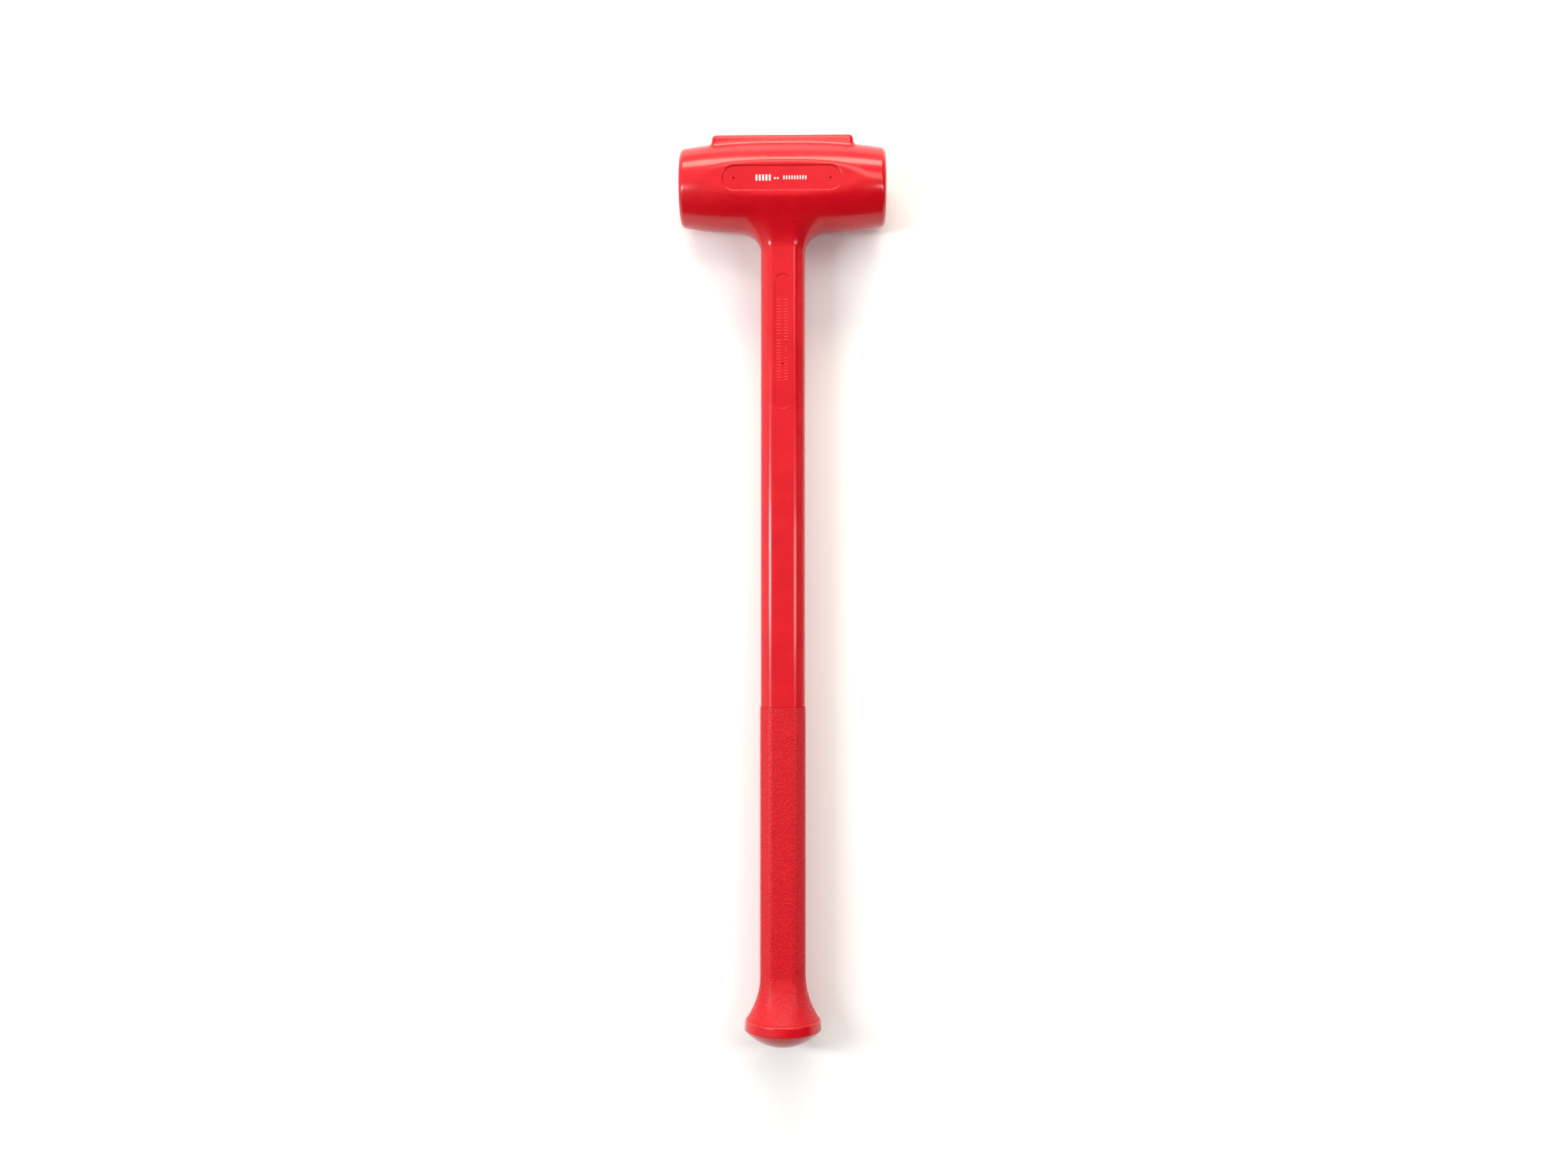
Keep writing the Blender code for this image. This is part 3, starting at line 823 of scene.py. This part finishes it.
# %% Ball tree
tree, given, out = new_tree("place_balls", [("Radius", "NodeSocketFloat"),
                                            ("Material", "NodeSocketMaterial")])
ball = add_node(tree, "GeometryNodeMeshIcoSphere", {"Radius": 1.0, "Subdivisions": 2})
smooth = add_node(tree, "GeometryNodeSetShadeSmooth", {0: ball.outputs["Mesh"]})
size_of = add_node(tree, "ShaderNodeCombineXYZ", {i: given.outputs["Radius"] for i in range(3)})
turn = add_node(tree, "FunctionNodeRandomValue", {0: (0, 0, 0), 1: (6.28, 6.28, 6.28), "Seed": 3},
                data_type="FLOAT_VECTOR")
spots = add_node(tree, "GeometryNodeMeshToPoints", {0: given.outputs[0]})
placed = add_node(tree, "GeometryNodeInstanceOnPoints",
                  {"Points": spots.outputs[0], "Instance": smooth.outputs[0],
                   "Rotation": turn.outputs[0], "Scale": size_of.outputs[0]})
finish_tree(tree, placed.outputs[0], given, out)
ball_tree = tree
print("ball tree:", len(tree.nodes), "nodes")

# %% [markdown]
# ## Effects that several finishes share
# A cast or machined surface is never quite even. Three effects are used by several materials: the faint
# mottle and pinprick texture of cast urethane, scuffs, and the lines that drawing or turning leaves in
# steel. Two belong to one material each: the parting line left where the halves of the mould met, and the
# pebbles. Each is built once as a node group and placed with its own values.

# %% Group helper
def new_group(name, inputs, outputs):
    """An empty shader group with number inputs, given with their defaults, and number outputs."""
    group = bpy.data.node_groups.new(name, "ShaderNodeTree")
    for label, value in inputs:
        socket = group.interface.new_socket(label, in_out="INPUT", socket_type="NodeSocketFloat")
        socket.default_value = value
    for label in outputs:
        group.interface.new_socket(label, in_out="OUTPUT", socket_type="NodeSocketFloat")
    return group, group.nodes.new("NodeGroupInput").outputs, group.nodes.new("NodeGroupOutput").inputs


def place_group(tree, group, **values):
    node = tree.nodes.new("ShaderNodeGroup")
    node.node_tree = group
    for key, value in values.items():
        socket = node.inputs[key.replace("_", " ").title()]
        if isinstance(value, bpy.types.NodeSocket):
            tree.links.new(value, socket)
        else:
            socket.default_value = value
    return node.outputs


def noise(tree, place, scale, detail=2.0, roughness=0.5):
    node = add_node(tree, "ShaderNodeTexNoise", {"Vector": place, "Scale": scale, "Detail": detail,
                                                 "Roughness": roughness})
    return node.outputs[0]


# %% Cast surface
cast_group, given, out = new_group("cast_surface",
                                   [("Mottle Size", 40.0), ("Speck Size", 900.0), ("Peel", 0.35)],
                                   ["Mottle", "Specks", "Height"])
place = add_node(cast_group, "ShaderNodeTexCoord").outputs["Object"]
cloud = noise(cast_group, place, given["Mottle Size"], 3.0, 0.6)
cast_group.links.new(remap(cast_group, cloud, 0.3, 0.7), out["Mottle"])
fine = noise(cast_group, place, given["Speck Size"], 2.0, 0.6)
cast_group.links.new(remap(cast_group, fine, 0.35, 0.68), out["Specks"])
peel = math_node(cast_group, "MULTIPLY", noise(cast_group, place, 420.0, 1.0), given["Peel"])
cast_group.links.new(math_node(cast_group, "ADD", peel, math_node(cast_group, "MULTIPLY", fine, 0.25)),
                     out["Height"])

# %% Scuffs
scuff_group, given, out = new_group("scuffs", [("Amount", 0.5)], ["Mask"])
place = add_node(scuff_group, "ShaderNodeTexCoord").outputs["Object"]
stretched = add_node(scuff_group, "ShaderNodeMapping", {"Vector": place, "Rotation": (0.3, 0.5, 0.9),
                                                        "Scale": (1.0, 9.0, 1.0)}).outputs[0]
streaks = remap(scuff_group, noise(scuff_group, stretched, 90.0, 3.0), 0.58, 0.74)
zones = remap(scuff_group, noise(scuff_group, place, 24.0, 2.0), 0.50, 0.66)
worn = math_node(scuff_group, "MULTIPLY", streaks, zones)
scuff_group.links.new(math_node(scuff_group, "MULTIPLY", worn, given["Amount"]), out["Mask"])

# %% Parting line of the mould
seam_group, given, out = new_group("parting_line", [("Level", 0.0), ("Width", 0.0005)], ["Mask"])
place = add_node(seam_group, "ShaderNodeTexCoord").outputs["Object"]
height = add_node(seam_group, "ShaderNodeSeparateXYZ", {0: place}).outputs[2]
sway = math_node(seam_group, "SUBTRACT", noise(seam_group, place, 60.0), 0.5)
waver = math_node(seam_group, "MULTIPLY", sway, 0.0002)
above = math_node(seam_group, "SUBTRACT", height, given["Level"])
off = math_node(seam_group, "ABSOLUTE", math_node(seam_group, "ADD", waver, above))
widths = math_node(seam_group, "DIVIDE", off, given["Width"])
seam_group.links.new(remap(seam_group, widths, 0.3, 1.0, 1.0, 0.0), out["Mask"])

# %% Pebble grain
grain_group, given, out = new_group("pebble_grain", [("Pebble Size", 0.002), ("Wander", 0.001)], ["Tops"])
place = add_node(grain_group, "ShaderNodeTexCoord").outputs["Object"]
grain_group.links.new(pebble_pattern(grain_group, place, given["Pebble Size"], given["Wander"]), out["Tops"])

# %% Tooling lines in steel
steel_group, given, out = new_group("tooling_lines", [("Stretch X", 1.0), ("Stretch Y", 1.0),
                                                      ("Stretch Z", 1.0), ("Fineness", 700.0)],
                                    ["Lines", "Stain"])
place = add_node(steel_group, "ShaderNodeTexCoord").outputs["Object"]
stretch = add_node(steel_group, "ShaderNodeCombineXYZ",
                   {i: given[f"Stretch {a}"] for i, a in enumerate("XYZ")})
long = add_node(steel_group, "ShaderNodeVectorMath", {0: place, 1: stretch.outputs[0]}, operation="MULTIPLY")
steel_group.links.new(noise(steel_group, long.outputs[0], given["Fineness"], 2.0), out["Lines"])
steel_group.links.new(remap(steel_group, noise(steel_group, place, 55.0, 4.0, 0.6), 0.45, 0.75), out["Stain"])
groups = (cast_group, scuff_group, seam_group, grain_group, steel_group)
print("effects:", ", ".join(group.name for group in groups))

# %% [markdown]
# ## Finishes
# The red is one pigment throughout, cast in a polished mould on the head and handle and in a textured
# mould on the grip. The skin is glossy with a slightly softer, paler mottle. On the grip the tops of the
# pebbles are polished by hands and so a little glossier. Their colour also carries painted light: the lows
# between them are painted a darker red as painted shade, so the tops read lighter as a painted highlight.

# %% Red urethane
def urethane(name, deep, pale, rough, mottle_size, peel, bump, scuffing, seam=True, pebbles=False,
             gloss=0.0):
    """Cast urethane: pigment with a faint mottle, tiny pits, scuffs that dull it and a parting line."""
    material, tree, shader = new_material(name, Specular_IOR_Level=0.30, Coat_Weight=gloss,
                                          Coat_Roughness=0.09)
    surface = place_group(tree, cast_group, mottle_size=mottle_size, peel=peel)
    scuff = place_group(tree, scuff_group, amount=scuffing)["Mask"]
    colour = mix_colour(tree, surface["Mottle"], deep, pale)
    specked = mix_colour(tree, math_node(tree, "MULTIPLY", surface["Specks"], 0.22), colour,
                         tuple(min(1.0, c * 1.25 + 0.002) for c in pale[:3]) + (1,))
    scuffed = mix_colour(tree, math_node(tree, "MULTIPLY", scuff, 0.10), specked, (0.58, 0.030, 0.040, 1))
    tree.links.new(scuffed, shader.inputs["Base Color"])
    uneven = math_node(tree, "ADD", rough, math_node(tree, "MULTIPLY", surface["Mottle"], 0.05))
    dulled = math_node(tree, "ADD", uneven, math_node(tree, "MULTIPLY", scuff, 0.10))
    height = surface["Height"]
    if pebbles:
        tops = place_group(tree, grain_group, pebble_size=PEBBLE_SIZE, wander=PEBBLE_WANDER)["Tops"]
        # Painted shade: the lows between the pebbles take a darker red, so the tops read lighter as a painted
        # highlight.
        scuffed = mix_colour(tree, tops, GRIP_PAINTED_SHADE, scuffed)
        tree.links.new(scuffed, shader.inputs["Base Color"])
        height = math_node(tree, "ADD", math_node(tree, "MULTIPLY", height, 0.15), tops)
        dulled = math_node(tree, "SUBTRACT", dulled, math_node(tree, "MULTIPLY", tops, 0.06))
    if seam:
        line = place_group(tree, seam_group, level=head.z, width=0.0005)["Mask"]
        dulled = math_node(tree, "ADD", dulled, math_node(tree, "MULTIPLY", line, 0.12))
        height = math_node(tree, "ADD", height, math_node(tree, "MULTIPLY", line, 1.2))
    tree.links.new(dulled, shader.inputs["Roughness"])
    relief = add_node(tree, "ShaderNodeBump", {"Height": height, "Strength": bump,
                                               "Distance": 0.00020 if pebbles else 0.00010})
    tree.links.new(relief.outputs[0], shader.inputs["Normal"])
    return material


RED_DEEP, RED_PALE = (0.500, 0.0012, 0.0085, 1), (0.550, 0.0030, 0.0095, 1)
# The darker red of the lows between the pebbles: a painted shade.
GRIP_PAINTED_SHADE = (0.470, 0.0010, 0.0080, 1)
PEBBLE_SIZE, PEBBLE_WANDER, PEBBLE_HEIGHT = 0.0018, 0.0005, 0.00016
skin_finish = urethane("red_cast_urethane", RED_DEEP, RED_PALE, 0.20, 34.0, 0.35, 0.20, 0.45, gloss=0.25)
pommel_finish = urethane("red_turned_urethane", RED_DEEP, RED_PALE, 0.19, 46.0, 0.25, 0.15, 0.60,
                         seam=False, gloss=0.25)
grip_finish = urethane("red_grained_urethane", (0.57, 0.0040, 0.0105, 1), (0.62, 0.0070, 0.0130, 1),
                       0.42, 70.0, 0.55, 0.45, 0.25, seam=False, pebbles=True)

# %% Printed and raised marks
print_finish, tree, shader = new_material("white_print", Specular_IOR_Level=0.35)
surface = place_group(tree, cast_group, mottle_size=300.0, speck_size=1800.0, peel=0.2)
thin = mix_colour(tree, math_node(tree, "MULTIPLY", surface["Specks"], 0.30),
                  (0.90, 0.88, 0.88, 1), (0.85, 0.66, 0.66, 1))
tree.links.new(thin, shader.inputs["Base Color"])
tree.links.new(math_node(tree, "ADD", 0.38, math_node(tree, "MULTIPLY", surface["Mottle"], 0.14)),
               shader.inputs["Roughness"])
# The strokes are the same cast red painted lighter, a painted highlight on their raised tops; their heavier
# scuffing is wear.
stroke_painted_highlight_finish = urethane("red_raised_strokes", (0.66, 0.030, 0.034, 1), (0.70, 0.040, 0.042, 1),
                         0.30, 90.0, 0.3, 0.15, 0.9, seam=False)

# %% [markdown]
# ## Steel
# The steel inside is never polished. Pipe and tube are drawn, which leaves fine lines along them under a
# thin dark scale. Plates, collar and plug are turned, so their lines run round the axis. The shot is
# bright and only slightly tarnished.

# %% Steel finishes
def steel(name, bright, scale_colour, stretch, fineness, rough, stain_share):
    """Bare steel with tooling lines in one direction and patches of thin scale."""
    material, tree, shader = new_material(name, Metallic=1.0)
    marks = place_group(tree, steel_group, stretch_x=stretch[0], stretch_y=stretch[1], stretch_z=stretch[2],
                        fineness=fineness)
    patch = math_node(tree, "MULTIPLY", marks["Stain"], stain_share)
    base = mix_colour(tree, marks["Lines"], tuple(c * 0.86 for c in bright[:3]) + (1,), bright)
    tree.links.new(mix_colour(tree, patch, base, scale_colour), shader.inputs["Base Color"])
    lined = math_node(tree, "ADD", rough, math_node(tree, "MULTIPLY", marks["Lines"], 0.12))
    tree.links.new(math_node(tree, "ADD", lined, math_node(tree, "MULTIPLY", patch, 0.25)),
                   shader.inputs["Roughness"])
    relief = add_node(tree, "ShaderNodeBump", {"Height": marks["Lines"], "Strength": 0.25,
                                               "Distance": 0.00008})
    tree.links.new(relief.outputs[0], shader.inputs["Normal"])
    return material


SCALE_GREY = (0.085, 0.080, 0.078, 1)
pipe_finish = steel("drawn_steel_across", (0.46, 0.46, 0.47, 1), SCALE_GREY, (0.03, 1, 1), 900.0, 0.38, 0.55)
tube_finish = steel("drawn_steel_along", (0.46, 0.46, 0.47, 1), SCALE_GREY, (1, 0.03, 1), 900.0, 0.38, 0.55)
plate_finish = steel("turned_steel", (0.56, 0.56, 0.57, 1), SCALE_GREY, (1, 0.35, 0.35), 700.0, 0.30, 0.30)
shot_finish = steel("bright_shot_steel", (0.66, 0.66, 0.68, 1), SCALE_GREY, (1, 1, 1), 500.0, 0.20, 0.25)
for name, finish in (("canister_pipe", pipe_finish), ("handle_tube", tube_finish),
                     ("end_plate_left", plate_finish), ("end_plate_right", plate_finish),
                     ("neck_collar", plate_finish), ("anchor_plug", plate_finish)):
    inner = nodes[name]
    inner.data.materials.clear()
    inner.data.materials.append(finish)
print("finishes:", len([m for m in bpy.data.materials if m.use_nodes]))

# %% [markdown]
# ## Put together
# The trees are run last, when every finish exists, because each tree also sets the material. Then the
# imported solids that the new pieces replace are hidden, and each piece is attached to the body it moves
# with. Everything that is cast or welded moves as one; only the shot is loose.

# %% Run the trees
run_tree(grip, pebble_tree, pebble_size=PEBBLE_SIZE, pebble_height=PEBBLE_HEIGHT, wander=PEBBLE_WANDER,
         material=grip_finish)
run_tree(printed, bar_tree, height=PRINT_THICK, sink=PRINT_SINK, material=print_finish)
run_tree(strokes, bar_tree, height=STROKE_HEIGHT, sink=STROKE_SINK, material=stroke_painted_highlight_finish)
run_tree(shot, ball_tree, radius=BALL_RADIUS, material=shot_finish)
for piece, finish in ((skin, skin_finish), (pommel, pommel_finish)):
    piece.data.materials.clear()
    piece.data.materials.append(finish)
grip.data.shade_smooth()
for piece in (skin, grip, pommel, printed, strokes, shot):
    print(piece.name, sum(len(p.vertices) - 2 for p in piece.data.polygons), "triangles")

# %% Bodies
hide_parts("cast_skin")
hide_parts("grip_sleeve")
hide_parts("pommel_cap")
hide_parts("shot_charge")
for piece in (skin, grip, pommel, printed, strokes):
    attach(piece, "hammer")
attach(shot, "shot")
